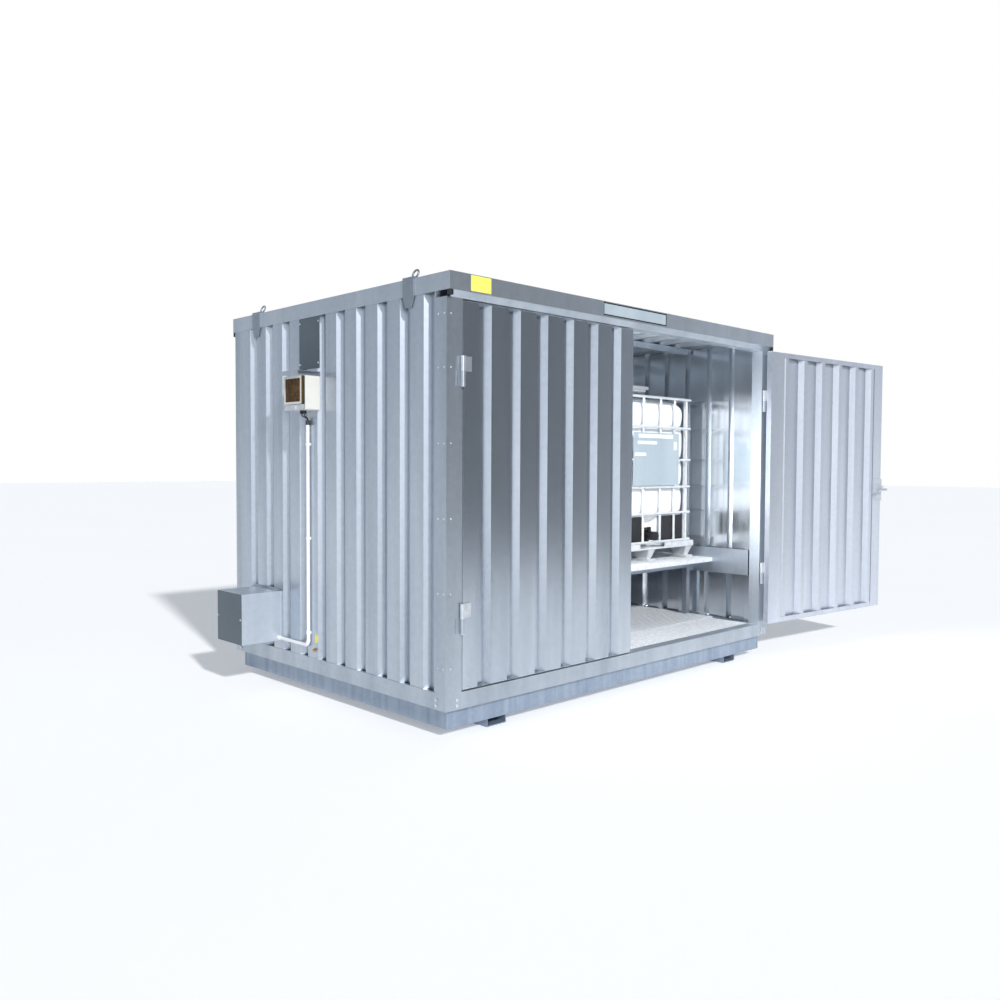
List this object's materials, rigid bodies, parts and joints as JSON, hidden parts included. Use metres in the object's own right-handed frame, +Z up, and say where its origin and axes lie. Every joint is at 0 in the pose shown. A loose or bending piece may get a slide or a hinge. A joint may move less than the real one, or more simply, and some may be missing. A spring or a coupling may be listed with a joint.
{
  "type": "hazardous goods storage container with an intermediate bulk container",
  "caption": "Walk-in galvanised steel storage container with a double door, spill sump, raised grating platform, lamp and vent, holding a caged intermediate bulk container.",
  "frame": {"origin": "centre of the container's base on the ground", "axes": "+X right along the door side as seen from outside, +Y from the doors to the back wall, +Z up"},
  "size_m": [4.7221, 2.4105, 2.3581],
  "materials": {
    "galvanised_sheet": "spangled zinc, satin",
    "galvanised_frame": "dull hot-dip zinc",
    "zinc_hardware": "bright zinc",
    "dark_sheet": "satin",
    "grating_steel": "dull zinc",
    "black_plastic": "matt",
    "white_plastic": "satin",
    "milky_plastic": "milky, satin",
    "cream_enclosure": "satin",
    "brown_cover": "satin",
    "yellow_label": "matt",
    "brass": "polished",
    "clear_lens": "frosted",
    "grey_rubber": "matt",
    "plate_blank": "satin"
  },
  "bodies": {
    "container": {"skid_frame": "galvanised_frame", "sump_tub": "galvanised_frame", "base_frame": "galvanised_frame", "corner_posts": "galvanised_frame", "left_wall": "galvanised_sheet", "right_wall": "galvanised_sheet", "back_wall": "galvanised_sheet", "roof_frame": "galvanised_frame", "roof_sheet": "galvanised_sheet", "door_lintel": "galvanised_frame", "roof_corner_plugs": "black_plastic", "lifting_brackets": "galvanised_frame", "hinge_plates": "galvanised_frame", "hinge_pins": "zinc_hardware", "outer_bolts": "zinc_hardware", "floor_supports": "galvanised_frame", "rear_grating": "grating_steel", "platform_frame": "galvanised_frame", "platform_grating": "grating_steel", "splash_guard": "galvanised_sheet", "lamp_housing": "white_plastic", "lamp_lens": "clear_lens", "vent_hood": "galvanised_sheet", "vent_mesh": "zinc_hardware", "fan_motor": "zinc_hardware", "cover_plates": "dark_sheet", "wall_flashings": "galvanised_sheet", "control_housing": "cream_enclosure", "control_panel": "dark_sheet", "control_latch": "zinc_hardware", "cable_glands": "grey_rubber", "control_cables": "grey_rubber", "conduit": "white_plastic", "earth_bolt": "brass", "yellow_labels": "yellow_label", "name_plate": "plate_blank"},
    "left_door": {"left_door_frame": "galvanised_frame", "left_door_sheet": "galvanised_sheet", "left_door_fittings": "zinc_hardware"},
    "right_door": {"right_door_frame": "galvanised_frame", "right_door_sheet": "galvanised_sheet", "right_door_straps": "zinc_hardware", "lock_case": "zinc_hardware"},
    "levers": {"door_levers": "zinc_hardware"},
    "latch": {"latch_bolt": "zinc_hardware"},
    "top_bolt": {"top_shoot_bolt": "zinc_hardware"},
    "bottom_bolt": {"bottom_shoot_bolt": "zinc_hardware"},
    "fan": {"fan_rotor": "black_plastic"},
    "cover": {"control_cover": "brown_cover"},
    "knob": {"control_knob": "black_plastic"},
    "walkway": {"walkway_grating": "grating_steel"},
    "ibc": {"ibc_pallet": "zinc_hardware", "ibc_bottle": "milky_plastic", "ibc_cage": "zinc_hardware", "ibc_heel_guards": "black_plastic", "ibc_label_plate": "plate_blank", "ibc_valve_body": "black_plastic"},
    "fill_cap": {"ibc_fill_cap": "black_plastic"},
    "valve_lever": {"ibc_valve_lever": "black_plastic"},
    "outlet_cap": {"ibc_outlet_cap": "black_plastic"}
  },
  "joints": [
    {"name": "left_door_swing", "type": "hinge", "parent": "container", "child": "left_door", "pos_m": [-1.429, -1.063, 0], "axis": [0, 0, -1], "range_deg": [0, 180]},
    {"name": "right_door_swing", "type": "hinge", "parent": "container", "child": "right_door", "pos_m": [1.429, -1.063, 0], "axis": [0, 0, -1], "range_deg": [-6, 174]},
    {"name": "lever_turn", "type": "hinge", "parent": "right_door", "child": "levers", "pos_m": [2.8671, -1.2142, 1.18], "axis": [-0.1045, -0.9945, 0], "range_deg": [0, 40], "stiffness_Nm_per_rad": 2},
    {"name": "latch_slide", "type": "slide", "parent": "right_door", "child": "latch", "axis": [-0.9945, 0.1045, 0], "range_m": [0, 0.025]},
    {"name": "top_bolt_slide", "type": "slide", "parent": "left_door", "child": "top_bolt", "axis": [0, 0, 1], "range_m": [0, 0.03]},
    {"name": "bottom_bolt_slide", "type": "slide", "parent": "left_door", "child": "bottom_bolt", "axis": [0, 0, -1], "range_m": [0, 0.03]},
    {"name": "fan_spin", "type": "hinge", "parent": "container", "child": "fan", "pos_m": [-1.56, 0.6375, 0.441], "axis": [1, 0, 0], "continuous": true},
    {"name": "control_cover_swing", "type": "hinge", "parent": "container", "child": "cover", "pos_m": [-1.6193, 0.161, 1.865], "axis": [0, 1, 0], "range_deg": [0, 65]},
    {"name": "knob_turn", "type": "hinge", "parent": "cover", "child": "knob", "pos_m": [-1.61, 0.161, 1.764], "axis": [1, 0, 0], "range_deg": [-45, 45]},
    {"name": "walkway_lift", "type": "slide", "parent": "container", "child": "walkway", "axis": [0, 0, 1], "range_m": [0, 0.12]},
    {"name": "ibc_lift", "type": "slide", "parent": "container", "child": "ibc", "axis": [0, 0, 1], "range_m": [0, 0.025]},
    {"name": "fill_cap_turn", "type": "hinge", "parent": "ibc", "child": "fill_cap", "pos_m": [0.88, 0.08, 1.85], "axis": [0, 0, 1], "range_deg": [0, 360]},
    {"name": "valve_lever_turn", "type": "hinge", "parent": "ibc", "child": "valve_lever", "pos_m": [0.88, -0.48, 0.91], "axis": [0, 0, 1], "range_deg": [0, 90]},
    {"name": "outlet_cap_turn", "type": "hinge", "parent": "ibc", "child": "outlet_cap", "pos_m": [0.88, -0.52, 0.864], "axis": [0, -1, 0], "range_deg": [0, 360]}
  ],
  "couplings": [
    {"joint": "latch_slide", "follows": "lever_turn", "m_per_rad": 0.0344}
  ]
}
